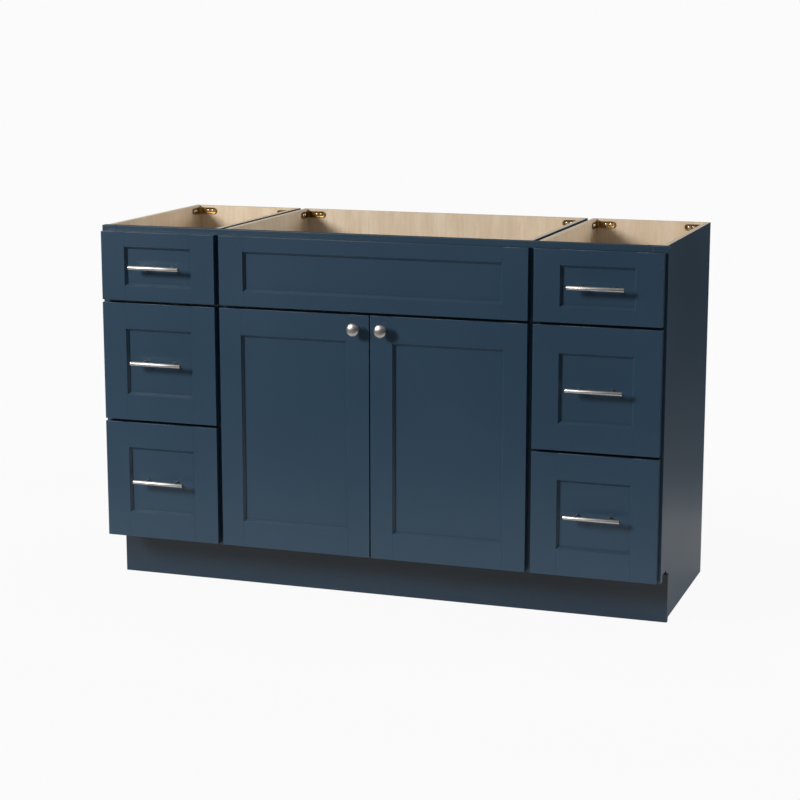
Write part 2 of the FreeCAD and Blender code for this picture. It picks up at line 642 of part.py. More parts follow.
def drawer_parts():
    rows = (
        ("top", (TOP_ROW_UNDER, FRONTS_TOP), "shallow_rail_tall", TOP_OPENING_LOW, SHALLOW_BOX),
        ("middle", ("(%s - %s)" % (LOWER_TOP, DEEP_TALL), LOWER_TOP), "deep_rail_tall",
         MIDDLE_OPENING_LOW, DEEP_BOX),
        ("bottom", (FRONTS_BOTTOM, "(%s + %s)" % (FRONTS_BOTTOM, DEEP_TALL)), "deep_rail_tall",
         RAIL_BOTTOM, DEEP_BOX),
    )
    fixed_members = []
    spacers = []
    for side, hand in ((-1, "left"), (1, "right")):
        across = mirrored((BANK_NEAR, BANK_FAR), side)
        walls = mirrored((BANK_OPENING_NEAR, BANK_OPENING_FAR), side)
        near = mirrored(("(%s + box_panel_thick)" % BANK_NEAR, BANK_OPENING_NEAR), side)
        far = mirrored((BANK_OPENING_FAR, "(%s - box_panel_thick)" % BANK_FAR), side)
        box_across = ("(%s + slide_wide)" % walls[0], "(%s - slide_wide)" % walls[1])
        for row, up, rail, opening_low, box_tall in rows:
            name = "%s_%s" % (hand, row)
            box_low = "(%s + drawer_lift)" % opening_low
            node(name + "_drawer_front", shaker_front(name + "_front", across, up, "drawer_stile_wide", rail))
            node(name + "_drawer_box", drawer_box(name + "_box", box_across, box_low, box_tall))
            cabinet, middle, drawer = drawer_slides(name, walls, box_low)
            fixed_members.extend(cabinet)
            spacers.extend(slide_spacers(name, near, far, box_low))
            node(name + "_slide_middle_members", middle)
            node(name + "_slide_drawer_members", drawer)
            centre = signed(side, BANK_MIDDLE)
            node(name + "_pull", bar_pull(name + "_pull", centre, "((%s + %s) / 2)" % up))
    node("slide_cabinet_members", fixed_members)
    node("slide_spacers", spacers)


# --------------------------------------------------- doors and false front

def hinge_cup(name, middle, edge_side, height):
    """The steel cup let into a door's back, with its pivot pin across it."""
    body = new_body(name + "_pressing")
    section = new_sketch(body, "XZ_Plane", name + "_section")
    outer = "(hinge_cup_dia / 2)"
    inner = "(hinge_cup_dia / 2 - hinge_cup_wall)"
    rim = "(hinge_cup_dia / 2 + hinge_flange_lip)"
    brim = "(hinge_cup_deep + hinge_cup_wall)"
    outline(section, [("0", "0"), (outer, "0"), (outer, "hinge_cup_deep"), (rim, "hinge_cup_deep"),
                      (rim, brim), (inner, brim), (inner, "hinge_cup_wall"), ("0", "hinge_cup_wall")])
    revolve(body, section, name + "_turned")
    body.Placement = Placement(Vector(), Rotation(Vector(1, 0, 0), -90))
    place(body, middle, "(%s - hinge_cup_deep)" % FRONTS_BACK, height)
    pin = doc.addObject("Part::Cylinder", name + "_pin")
    pin.setExpression("Radius", bound("hinge_pin_dia / 2"))
    pin.setExpression("Height", bound("hinge_pin_long"))
    toward_edge = "%s + %d * (%s - hinge_axis_inset)" % (middle, edge_side, CUP_INSET)
    place(pin, toward_edge, "(-hinge_axis_ahead)", "(%s - hinge_pin_long / 2)" % height)
    return joined(name, [body, pin])


def hinge_plate(name, side, height):
    """The plate screwed to the stile's edge, and the arm that meets the cup."""
    edge = SINK_OPENING
    plate_span = mirrored(("(%s - hinge_plate_thick)" % edge, edge), side)
    arm_span = mirrored(("(%s - hinge_arm_reach)" % edge, "(%s - hinge_plate_thick)" % edge), side)
    plate_up = ("(%s - hinge_plate_tall / 2)" % height, "(%s + hinge_plate_tall / 2)" % height)
    arm_up = ("(%s - hinge_arm_tall / 2)" % height, "(%s + hinge_arm_tall / 2)" % height)
    plate = block(name + "_plate", plate_span, ("(-hinge_arm_nose)", "frame_thick"), plate_up)
    arm = block(name + "_arm", arm_span, ("(-hinge_arm_nose)", "(hinge_arm_thick - hinge_arm_nose)"), arm_up)
    return joined(name, [plate, arm])


def door_knob(name, across, height):
    """A mushroom knob turned about its own axis, foot at the origin."""
    body = new_body(name)
    section = new_sketch(body, "XZ_Plane", name + "_section")
    under_head = "(knob_rise - knob_head_tall)"
    neck = "(knob_neck_dia / 2)"
    foot = "(knob_foot_dia / 2)"
    head = "(knob_head_dia / 2)"
    outline(section, [("0", "0"), (foot, "0"), (foot, "knob_foot_tall"), (neck, "knob_foot_tall"),
                      (neck, under_head), (head, under_head), (head, "knob_rise"), ("0", "knob_rise")])
    turned = revolve(body, section, name + "_turned")
    top = VALUE["knob_rise"]
    bottom = top - VALUE["knob_head_tall"]
    around_neck = math.pi * VALUE["knob_neck_dia"]
    crown = rounded(body, turned, name + "_crown", "knob_crown_round",
                    lambda at, way, long: abs(at.z - top) < SAME_PLACE)
    rounded(body, crown, name + "_rim", "knob_rim_round",
            lambda at, way, long: abs(at.z - bottom) < SAME_PLACE and long > around_neck + SAME_PLACE)
    body.Placement = Placement(Vector(), Rotation(Vector(1, 0, 0), 90))
    place(body, across, FRONTS_FACE, height)
    return body


def bored_for_hinges(name, stile, middle, heights):
    """The hinge stile with a round bore for each cup."""
    bores = []
    for number, height in enumerate(heights, start=1):
        bore = doc.addObject("Part::Cylinder", "%s_bore_%d" % (name, number))
        bore.setExpression("Radius", bound("hinge_cup_dia / 2 + hinge_bore_play"))
        bore.setExpression("Height", bound("hinge_cup_deep + hinge_bore_play"))
        bore.Placement = Placement(Vector(), Rotation(Vector(1, 0, 0), -90))
        place(bore, middle, "(%s - hinge_cup_deep - hinge_bore_play)" % FRONTS_BACK, height)
        bores.append(bore)
    return cut(name + "_bored", stile, bores)


def door_parts():
    up = (FRONTS_BOTTOM, LOWER_TOP)
    heights = ("(%s + hinge_end_inset)" % FRONTS_BOTTOM, "(%s - hinge_end_inset)" % LOWER_TOP)
    plates = []
    for side, hand in ((-1, "left"), (1, "right")):
        name = hand + "_door"
        across = mirrored(("(door_gap / 2)", HALF_SINK), side)
        pieces = shaker_front(name, across, up, "door_stile_wide", "deep_rail_tall")
        middle = signed(side, "(%s - %s)" % (HALF_SINK, CUP_INSET))
        hinge_stile = 0 if side < 0 else 1
        pieces[hinge_stile] = bored_for_hinges(name, pieces[hinge_stile], middle, heights)
        node(name, pieces)
        knob_across = signed(side, "(door_gap / 2 + knob_edge_inset)")
        knob_height = "(%s - knob_edge_inset)" % LOWER_TOP
        node(name + "_knob", [door_knob(name + "_knob_turning", knob_across, knob_height)])
        cups = []
        for number, height in enumerate(heights, start=1):
            cups.append(hinge_cup("%s_cup_%d" % (name, number), middle, side, height))
            plates.append(hinge_plate("%s_plate_%d" % (name, number), side, height))
        node(name + "_hinge_cups", cups)
    node("hinge_plates", plates)


def false_front_parts():
    node("false_front", shaker_front("fixed_front", ("-%s" % HALF_SINK, HALF_SINK), (TOP_ROW_UNDER, FRONTS_TOP),
                                     "drawer_stile_wide", "shallow_rail_tall"))
    up = ("(%s + block_clearance)" % TOP_OPENING_LOW, "(%s - block_clearance)" % RAIL_TOP)
    blocks = []
    for side, hand in ((-1, "left"), (1, "right")):
        span = mirrored(("(%s - block_wide)" % SINK_OPENING, SINK_OPENING), side)
        blocks.append(block(hand + "_block", span, (FRONTS_BACK, "frame_thick"), up))
    node("false_front_blocks", blocks)


frame_parts()
box_parts()
clips_and_screws()
drawer_parts()
door_parts()
false_front_parts()
doc.recompute()

faults = [item.Name for item in doc.Objects if "Invalid" in item.State or "Error" in item.State]
for item in NODES:
    if item.Shape.isNull() or not item.Shape.isValid() or not item.Shape.Solids:
        faults.append(item.Label)
if faults:
    raise RuntimeError("not built: " + ", ".join(faults))

os.makedirs("parts", exist_ok=True)
for item in NODES:
    item.Shape.exportStep(os.path.join("parts", item.Label + ".step"))
print("%d nodes, %d solids" % (len(NODES), sum(len(item.Shape.Solids) for item in NODES)))
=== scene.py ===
import math

import bmesh
import bpy
from mathutils import Matrix, Vector


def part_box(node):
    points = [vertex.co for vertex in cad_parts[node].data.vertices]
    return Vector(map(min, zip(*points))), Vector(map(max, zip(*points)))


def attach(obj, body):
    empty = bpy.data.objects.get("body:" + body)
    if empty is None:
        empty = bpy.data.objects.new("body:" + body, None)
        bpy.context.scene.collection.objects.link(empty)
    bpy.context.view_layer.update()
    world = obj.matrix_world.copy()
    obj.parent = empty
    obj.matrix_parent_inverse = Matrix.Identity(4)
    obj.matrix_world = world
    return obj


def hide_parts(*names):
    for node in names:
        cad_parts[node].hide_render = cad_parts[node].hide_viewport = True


# A bathroom vanity base cabinet: navy shaker fronts over three open-topped
# plywood boxes.  Metres throughout: X across, Y to the back, Z up.

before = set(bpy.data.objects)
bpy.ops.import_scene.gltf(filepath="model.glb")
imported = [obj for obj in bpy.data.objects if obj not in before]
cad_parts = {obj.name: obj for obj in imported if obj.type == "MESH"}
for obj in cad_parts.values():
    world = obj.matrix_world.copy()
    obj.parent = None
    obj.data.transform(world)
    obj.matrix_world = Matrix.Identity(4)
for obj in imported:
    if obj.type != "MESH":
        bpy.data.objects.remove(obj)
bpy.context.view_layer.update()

# ------------------------------------------------------------------- sizes

# Flat faces of the fronts' stiles and rails, up to where the bevel starts.
DRAWER_STILE = 0.0603
DOOR_STILE = 0.0539
SHALLOW_RAIL = 0.0349
DEEP_RAIL = 0.0619

# The bevel round a front's panel, how far back the panel lies and its thickness.
BEVEL_WIDE = 0.0048
BEVEL_DEEP = 0.0064
RECESS = 0.0079
PANEL = 0.00635
PANEL_SEAT = 0.0006  # how far the bevels reach in under the stiles and rails

# Drawer boxes: the walls' thickness, the bottom's thickness and how high it lies,
# and how far it reaches into its grooves.
PLY = 0.0127
DRAWER_BOTTOM = 0.00635
DRAWER_BOTTOM_LIFT = 0.0127
BOTTOM_IN_GROOVE = 0.001

# Widths of the rounding on edges.
FRONT_EASE = 0.0006
BEVEL_EASE = 0.0004
BEVEL_FOOT = 0.0002
JOINT_EASE = 0.00025
BOARD_EASE = 0.0008
PANEL_EASE = 0.0003
BOX_EASE = 0.0006
BOTTOM_EASE = 0.0002
SIDE_EASE = 0.0004
THREE_STEP_EASE = 0.0005  # wider rounding than this is made in three steps

# Bar pulls and their posts.
BAR_RADIUS = 0.005
BAR_END_EASE = 0.0008
POST_RADIUS = 0.00375
POST_WAIST = POST_RADIUS - 0.0002
POST_PITCH = 0.0762
POST_IN_BAR = 0.003

# Corner clips and their screws.
CLIP_THICK = 0.0015
CLIP_FOLD = 0.0125
SCREW_SHANK = 0.0018
SCREW_HEAD = 0.0038
SCREW_FLAT = SCREW_HEAD - 0.0018
SCREW_CROWN = 0.0017

# Half the cabinet's width and depth; the floor's faint shadow, its painted glow and its painted pool of light
# fall off from this outline.
SHADE_ACROSS = 0.69
SHADE_BACK = 0.29

NOTCH_TOP = 0.13  # edges of the sides below this, and in front, are in the toe notch

# How far the grain moves on from board to board, and from one side to its twin.
GRAIN_ALONG_STEP = 3.1
GRAIN_ACROSS_STEP = 1.7
GRAIN_SIDE_SHIFT = 1.9

HANDS = ("left", "right")
ROWS = ("top", "middle", "bottom")
ACROSS, DEPTH, UP = 0, 1, 2
ON_PLANE = 1e-5


# --------------------------------------------------------------- materials

class Number:
    """A single-valued socket that can be used in arithmetic."""

    def __init__(self, shader, socket):
        self.shader = shader
        self.socket = socket

    def maths(self, operation, *others):
        return self.shader.maths(operation, self, *others)

    def __add__(self, other):
        return self.maths("ADD", other)

    __radd__ = __add__

    def __sub__(self, other):
        return self.maths("SUBTRACT", other)

    def __rsub__(self, other):
        return self.shader.maths("SUBTRACT", other, self)

    def __mul__(self, other):
        return self.maths("MULTIPLY", other)

    __rmul__ = __mul__

    def __truediv__(self, other):
        return self.maths("DIVIDE", other)

    def __rtruediv__(self, other):
        return self.shader.maths("DIVIDE", other, self)

    def __pow__(self, other):
        return self.maths("POWER", other)

    def wave(self):
        return self.maths("SINE")

    def size(self):
        return self.maths("ABSOLUTE")

    def at_least(self, other):
        return self.maths("MAXIMUM", other)

    def at_most(self, other):
        return self.maths("MINIMUM", other)


class Shader:
    """The nodes of one material or of the world."""

    def __init__(self, tree):
        self.tree = tree

    def node(self, kind, settings=None, values=None):
        """Add a node: its settings first, then its sockets' values or links."""
        made = self.tree.nodes.new(kind)
        for name, setting in (settings or {}).items():
            setattr(made, name, setting)
        for name, value in (values or {}).items():
            self.feed(made.inputs[name], value)
        return made

    def feed(self, socket, value):
        if isinstance(value, Number):
            value = value.socket
        if isinstance(value, bpy.types.NodeSocket):
            self.tree.links.new(value, socket)
        else:
            socket.default_value = value

    def maths(self, operation, *terms):
        made = self.node("ShaderNodeMath", {"operation": operation}, dict(enumerate(terms)))
        return Number(self, made.outputs[0])

    def number(self, socket):
        return Number(self, socket)

    def place(self):
        """Where on the object a point lies, in metres."""
        return self.node("ShaderNodeTexCoord").outputs["Object"]

    def stored(self, name):
        return self.node("ShaderNodeAttribute", {"attribute_name": name})

    def split(self, vector):
        parts = self.node("ShaderNodeSeparateXYZ", None, {0: vector})
        return [self.number(part) for part in parts.outputs]

    def stretched(self, vector, scale):
        made = self.node("ShaderNodeVectorMath", {"operation": "MULTIPLY"}, {0: vector, 1: scale})
        return made.outputs[0]

    def noise(self, vector, scale=1.0, detail=2.0, roughness=0.5):
        made = self.node("ShaderNodeTexNoise", None, {
            "Vector": vector, "Scale": scale, "Detail": detail, "Roughness": roughness})
        return self.number(made.outputs["Fac"])

    def ramp(self, value, low, high, start=0.0, end=1.0):
        """A smooth climb from start to end as the value goes from low to high."""
        made = self.node("ShaderNodeMapRange", {"interpolation_type": "SMOOTHSTEP"}, {
            "Value": value, "From Min": low, "From Max": high, "To Min": start, "To Max": end})
        return self.number(made.outputs[0])

    def blend(self, share, first, second):
        """The second colour laid over the first, by a share between nought and one."""
        made = self.node("ShaderNodeMix", {"data_type": "RGBA"}, {0: share, 6: first, 7: second})
        return made.outputs[2]

    def relief(self, height, depth, strength=0.5):
        made = self.node("ShaderNodeBump", None, {"Strength": strength, "Distance": depth, "Height": height})
        return made.outputs["Normal"]


def finish_named(name):
    """A new material and its shader, with only a Principled surface in it."""
    material = bpy.data.materials.new(name)
    material.use_nodes = True
    shader = Shader(material.node_tree)
    return material, shader, material.node_tree.nodes["Principled BSDF"]


def tone(red, green, blue):
    """A colour as it looks on paper, nought to 255, for a shader."""
    def linear(part):
        part /= 255
        return part / 12.92 if part <= 0.04045 else ((part + 0.055) / 1.055) ** 2.4
    return (linear(red), linear(green), linear(blue), 1.0)


def navy_paint(name, foot_shade=0.0, top_shade=0.0):
    """Sprayed satin enamel that lets a little of the wood's grain through.

    foot_shade and top_shade are painted shade: they darken it towards near-black at floor level
    and from just under the fronts up, from foot_shade at the floor to top_shade 9 cm up and above,
    for the shadow under the fronts and in the gaps. Eased edges come out lighter: painted highlight
    and rubbed paint.
    """
    material, shader, surface = finish_named(name)
    place = shader.place()
    grain_at = shader.stored("grain_at").outputs["Vector"]
    eased = shader.number(shader.stored("eased").outputs["Fac"])
    cloud = shader.noise(place, 2.6, 3.0)
    grain = shader.noise(shader.stretched(grain_at, (7.0, 260.0, 260.0)), 1.0, 4.0, 0.6)
    spray = shader.noise(place, 520.0, 2.0, 0.55)
    colour = shader.blend(shader.ramp(cloud, 0.3, 0.7), tone(34, 58, 76), tone(37, 61, 80))
    colour = shader.blend(shader.ramp(grain, 0.4, 0.8) * 0.12, colour, tone(31, 49, 66))
    # Eased edges lighter in patches: painted highlight along the rounding, and rubbed paint.
    edge_highlight_and_rub = eased * shader.ramp(shader.noise(place, 38.0, 4.0, 0.7), 0.32, 0.72, 0.05, 0.30)
    colour = shader.blend(edge_highlight_and_rub, colour, tone(54, 76, 95))
    # Painted shade: darker towards near-black by height, from foot_shade at the floor to top_shade 9 cm up.
    if top_shade:
        height = shader.split(place)[2]
        shade = shader.ramp(height, 0.0, 0.09, foot_shade, top_shade)
        colour = shader.blend(shade, colour, tone(8, 9, 10))
    shader.feed(surface.inputs["Base Color"], colour)
    shader.feed(surface.inputs["Roughness"], 0.28 + 0.05 * cloud + 0.04 * spray + 0.12 * eased)
    shader.feed(surface.inputs["Normal"], shader.relief(spray + 0.15 * grain, 0.00003))
    return material


def maple_face():
    """Clear-coated maple veneer; the grain follows each board's own length."""
    material, shader, surface = finish_named("maple_face")
    grain_at = shader.stored("grain_at").outputs["Vector"]
    bend = shader.noise(shader.stretched(grain_at, (1.6, 5.0, 5.0)), 1.0, 2.0)
    along, across, through = shader.split(grain_at)
    waved = shader.node("ShaderNodeCombineXYZ", None,
                        {0: along * 1.3, 1: across * 26.0 + bend * 2.4, 2: through * 26.0}).outputs[0]
    figure = shader.noise(waved, 1.0, 3.0, 0.55)
    streak = shader.noise(shader.stretched(grain_at, (11.0, 130.0, 130.0)), 1.0, 4.0, 0.65)
    pore = shader.noise(shader.stretched(grain_at, (60.0, 900.0, 900.0)), 1.0, 2.0, 0.5)
    blotch = shader.noise(shader.stretched(grain_at, (14.0, 34.0, 34.0)), 1.0, 4.0, 0.6)
    colour = shader.blend(shader.ramp(figure, 0.25, 0.75), tone(227, 209, 183), tone(214, 193, 164))
    colour = shader.blend(shader.ramp(blotch, 0.40, 0.68) * 0.35, colour, tone(204, 178, 147))
    colour = shader.blend(shader.ramp(streak, 0.42, 0.72) * 0.28, colour, tone(188, 164, 135))
    colour = shader.blend(shader.ramp(pore, 0.56, 0.8) * 0.25, colour, tone(160, 132, 104))
    shader.feed(surface.inputs["Base Color"], colour)
    shader.feed(surface.inputs["Roughness"], 0.50 + 0.14 * streak - 0.06 * figure)
    height = 0.7 * streak + 0.3 * pore
    shader.feed(surface.inputs["Normal"], shader.relief(height, 0.00012))
    return material


def ply_edge():
    """Cut plywood edge: light and dark plies with thin glue lines."""
    material, shader, surface = finish_named("ply_edge")
    grain_at = shader.stored("grain_at").outputs["Vector"]
    through = shader.split(grain_at)[2]
    two_plies = 0.0051
    layers = (through * (math.tau / two_plies)).wave()
    plies = shader.ramp(layers, -0.35, 0.35)
    glue = shader.ramp(layers.size(), 0.0, 0.22, 1.0, 0.0)
    fibre = shader.noise(shader.stretched(grain_at, (60.0, 60.0, 700.0)), 1.0, 4.0, 0.6)
    colour = shader.blend(plies, tone(206, 188, 162), tone(226, 212, 190))
    colour = shader.blend(glue * 0.45, colour, tone(150, 118, 84))
    colour = shader.blend(shader.ramp(fibre, 0.45, 0.8) * 0.35, colour, tone(176, 146, 110))
    shader.feed(surface.inputs["Base Color"], colour)
    shader.feed(surface.inputs["Roughness"], 0.62 + 0.2 * fibre)
    shader.feed(surface.inputs["Normal"], shader.relief(fibre - 0.4 * glue, 0.00015))
    return material


def plain_maple(name, along):
    """Maple for hidden rails and strips, its grain along one axis."""
    material, shader, surface = finish_named(name)
    scale = [170.0, 170.0, 170.0]
    scale[along] = 5.0
    streak = shader.noise(shader.stretched(shader.place(), scale), 1.0, 4.0, 0.65)
    cloud = shader.noise(shader.place(), 9.0, 3.0)
    colour = shader.blend(shader.ramp(cloud, 0.3, 0.7), tone(222, 205, 180), tone(208, 188, 160))
    colour = shader.blend(shader.ramp(streak, 0.42, 0.75) * 0.6, colour, tone(184, 160, 130))
    shader.feed(surface.inputs["Base Color"], colour)
    shader.feed(surface.inputs["Roughness"], 0.52 + 0.14 * streak)
    shader.feed(surface.inputs["Normal"], shader.relief(streak, 0.00012))
    return material


def metal(name, light, dark, rough, lines, speckle=0.0, tint=None, relief=0.3):
    """A worked metal: fine lines from brushing, cloudy plating, soft wear.

    lines is how closely the brushing runs along each axis; speckle is the
    share of the tint where the plating has turned.
    """
    material, shader, surface = finish_named(name)
    place = shader.place()
    cloud = shader.noise(place, 60.0, 4.0, 0.6)
    brushed = shader.noise(shader.stretched(place, lines), 1.0, 3.0, 0.6)
    grit = shader.noise(place, 900.0, 2.0, 0.5)
    colour = shader.blend(shader.ramp(cloud, 0.3, 0.7), light, dark)
    if tint:
        speckles = shader.ramp(shader.noise(place, 140.0, 3.0, 0.6), 0.5, 0.75)
        colour = shader.blend(speckles * speckle, colour, tint)
    colour = shader.blend(shader.ramp(brushed, 0.45, 0.8) * 0.25, colour, dark)
    shader.feed(surface.inputs["Base Color"], colour)
    surface.inputs["Metallic"].default_value = 1.0
    shader.feed(surface.inputs["Roughness"], rough + 0.10 * brushed + 0.05 * cloud)
    shader.feed(surface.inputs["Normal"], shader.relief(0.6 * brushed + 0.4 * grit, 0.00001, relief))
    return material


NAVY = navy_paint("navy_paint")
# Toe board navy with painted shade: darker throughout, more so towards its top where the fronts shade it.
SHADED_NAVY = navy_paint("toe_board_paint_with_painted_shade", 0.32, 0.72)
# Navy with painted shade all over, for the front edges and rails inside the gaps between fronts.
GAP_SHADE_NAVY = navy_paint("navy_paint_with_painted_gap_shade", 0.5, 0.5)
MAPLE = maple_face()
PLY_EDGE = ply_edge()
MAPLE_DEEP = plain_maple("maple_front_to_back", DEPTH)
NICKEL = metal("satin_nickel", tone(196, 193, 189), tone(178, 174, 169), 0.27, (12.0, 900.0, 900.0),
               relief=0.08)
HINGE_NICKEL = metal("hinge_nickel", tone(200, 198, 192), tone(158, 155, 150), 0.28, (300.0, 300.0, 40.0))
ZINC = metal("bright_zinc", tone(196, 200, 204), tone(178, 183, 188), 0.34, (500.0, 30.0, 500.0),
             0.15, tone(180, 185, 196))
YELLOW_ZINC = metal("yellow_zinc", tone(174, 138, 80), tone(114, 84, 44), 0.34, (90.0, 90.0, 900.0),
                    0.45, tone(150, 100, 76))
SCREW_STEEL = metal("screw_steel", tone(238, 230, 214), tone(206, 194, 170), 0.30, (400.0, 400.0, 400.0))


# ---------------------------------------------------------------- modelling

class Piece:
    """Boards and turned parts gathered into one object."""

    def __init__(self, name, finishes):
        self.name = name
        self.finishes = finishes
        self.mesh = bmesh.new()
        self.grain_at = self.mesh.verts.layers.float_vector.new("grain_at")
        self.done = self.mesh.verts.layers.int.new("done")
        self.eased = self.mesh.faces.layers.float.new("eased")
        self.boards = 0

    def fresh(self):
        return [vert for vert in self.mesh.verts if not vert[self.done]]

    def settle(self, along, through, low):
        """Store where each new point lies in its own board, and close the board."""
        across = 3 - along - through
        for vert in self.fresh():
            at = vert.co
            vert[self.grain_at] = (at[along] + GRAIN_ALONG_STEP * self.boards,
                                   at[across] + GRAIN_ACROSS_STEP * self.boards, at[through] - low[through])
            vert[self.done] = 1
        self.boards += 1

    def ease(self, edges, width, steps):
        """Round edges over; the new faces are marked as eased, which the navy paint lightens as painted
        highlight and rubbed paint.
        """
        made = bmesh.ops.bevel(self.mesh, geom=edges, offset=width, offset_type="OFFSET", segments=steps,
                               profile=0.5, affect="EDGES", material=-1, clamp_overlap=True)
        for face in made["faces"]:
            face.normal_update()
            lies_aslant = max(abs(part) for part in face.normal) < 0.999
            if lies_aslant:
                face[self.eased] = 1.0
                face.smooth = True

    def board(self, low, high, along=UP, through=DEPTH, ease=BOARD_EASE, soft=None, edge_finish=None):
        """A board between two corners.

        soft lists (test, width) pairs: edges whose middle passes the test get
        that width of rounding in place of the board's own.  edge_finish is the
        finish of the faces that lie across the board's thickness.
        """
        low, high = Vector(low), Vector(high)
        size = high - low
        shape = Matrix.Translation((low + high) / 2) @ Matrix.Diagonal((size.x, size.y, size.z, 1.0))
        bmesh.ops.create_cube(self.mesh, size=1.0, matrix=shape)
        if edge_finish is not None:
            for face in set(face for vert in self.fresh() for face in vert.link_faces):
                if abs(face.normal[through]) < 0.5:
                    face.material_index = edge_finish
        for test, width in list(soft or []) + [(None, ease)]:
            edges = [edge for edge in set(edge for vert in self.fresh() for edge in vert.link_edges)
                     if len(edge.link_faces) == 2 and edge.calc_face_angle(0.0) > 1.2
                     and (test is None or test((edge.verts[0].co + edge.verts[1].co) / 2))]
            if edges:
                self.ease(edges, width, 3 if width > THREE_STEP_EASE else 1)
        self.settle(along, through, low)

    def turned(self, profile, centre, axis, steps=48):
        """A shape spun round an axis through centre; profile is (radius, rise) pairs."""
        up = Vector(axis).normalized()
        side = up.orthogonal().normalized()
        line = [self.mesh.verts.new(Vector(centre) + side * radius + up * rise) for radius, rise in profile]
        edges = [self.mesh.edges.new(pair) for pair in zip(line, line[1:])]
        bmesh.ops.spin(self.mesh, geom=line + edges, cent=centre, axis=up, angle=math.tau, steps=steps,
                       use_merge=True)
        fresh = self.fresh()
        bmesh.ops.remove_doubles(self.mesh, verts=fresh, dist=1e-6)
        faces = list(set(face for vert in self.fresh() for face in vert.link_faces))
        bmesh.ops.recalc_face_normals(self.mesh, faces=faces)
        for face in faces:
            face.smooth = True
        self.settle(ACROSS, DEPTH, Vector((0, 0, 0)))

    def onto(self, body, slot, *nodes, sharp=35.0):
        """Make the object, let it ride on its body and stand for its nodes."""
        self.mesh.verts.layers.int.remove(self.done)
        mesh = bpy.data.meshes.new(self.name)
        self.mesh.to_mesh(mesh)
        rounded = [face.smooth for face in self.mesh.faces]
        self.mesh.free()
        mesh.set_sharp_from_angle(angle=math.radians(sharp))
        mesh.polygons.foreach_set("use_smooth", rounded)
        for finish in self.finishes:
            mesh.materials.append(finish)
        item = bpy.data.objects.new(self.name, mesh)
        bpy.context.scene.collection.objects.link(item)
        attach(item, body)
        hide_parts(*nodes)


def separate_solids(node):
    """Corner pairs of a node's solids, for solids that stand clear of each other."""
    mesh = bmesh.new()
    mesh.from_mesh(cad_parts[node].data)
    bmesh.ops.remove_doubles(mesh, verts=mesh.verts, dist=1e-5)
    left = set(mesh.verts)
    boxes = []
    while left:
        found = {left.pop()}
        edge_of_search = list(found)
        while edge_of_search:
            vert = edge_of_search.pop()
            for edge in vert.link_edges:
                other = edge.other_vert(vert)
                if other in left:
                    left.remove(other)
                    found.add(other)
                    edge_of_search.append(other)
        low = Vector([min(vert.co[axis] for vert in found) for axis in range(3)])
        high = Vector([max(vert.co[axis] for vert in found) for axis in range(3)])
        boxes.append((low, high))
    mesh.free()
    return sorted(boxes, key=lambda box: tuple(box[0]))


# ------------------------------------------------------- face frame and boxes

def frame_member(node, along, finish):
    """Solid wood members of the face frame, edges sanded and painted."""
    piece = Piece(node + "_boards", [finish])
    for low, high in separate_solids(node):
        piece.board(low, high, along)
    piece.onto("root", "navy_paint", node)


def ply_boards(node, along, through):
    """Plywood panels with veneered faces and cut edges."""
    piece = Piece(node + "_panels", [MAPLE, PLY_EDGE])
    for low, high in separate_solids(node):
        piece.board(low, high, along, through, PANEL_EASE, edge_finish=1)
    piece.onto("root", "maple_plywood", node)


def box_sides(node, painted_faces):
    """Plywood sides: painted outside, veneered inside, ply showing at the edges."""
    piece = Piece(node + "_panels", [MAPLE, NAVY, PLY_EDGE])
    mesh = piece.mesh
    mesh.from_mesh(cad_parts[node].data)
    bmesh.ops.remove_doubles(mesh, verts=mesh.verts, dist=1e-5)
    bmesh.ops.dissolve_limit(mesh, angle_limit=math.radians(1.0), verts=mesh.verts, edges=mesh.edges)
    for face in mesh.faces:
        centre = face.calc_center_median()
        if abs(face.normal.x) > 0.5:
            painted = any(abs(abs(centre.x) - plane) < 0.001 for plane in painted_faces)
            face.material_index = 1 if painted else 0
        else:
            in_toe_notch = 0.001 < centre.z < NOTCH_TOP and centre.y < 0.0
            face.material_index = 1 if in_toe_notch else 2
    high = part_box(node)[1]
    top_edges = [edge for edge in mesh.edges if len(edge.link_faces) == 2 and edge.calc_face_angle(0.0) > 1.2
                 and min(vert.co.z for vert in edge.verts) > high.z - 0.001]
    piece.ease(top_edges, SIDE_EASE, 2)
    for vert in mesh.verts:
        at = vert.co
        nearest = min(painted_faces, key=lambda plane: abs(abs(at.x) - plane))
        shift = math.copysign(GRAIN_SIDE_SHIFT, at.x)
        vert[piece.grain_at] = (at.z + shift, at.y, abs(abs(at.x) - nearest))
    piece.onto("root", "maple_plywood", node)


def toe_board():
    """The plank across all three boxes, set back under the fronts."""
    # Its paint carries painted shade, darker towards the top under the fronts.
    piece = Piece("toe_board_plank", [SHADED_NAVY])
    low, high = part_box("toe_board")
    piece.board(low, high, ACROSS)
    piece.onto("root", "navy_paint", "toe_board")


# -------------------------------------------------------------------- fronts

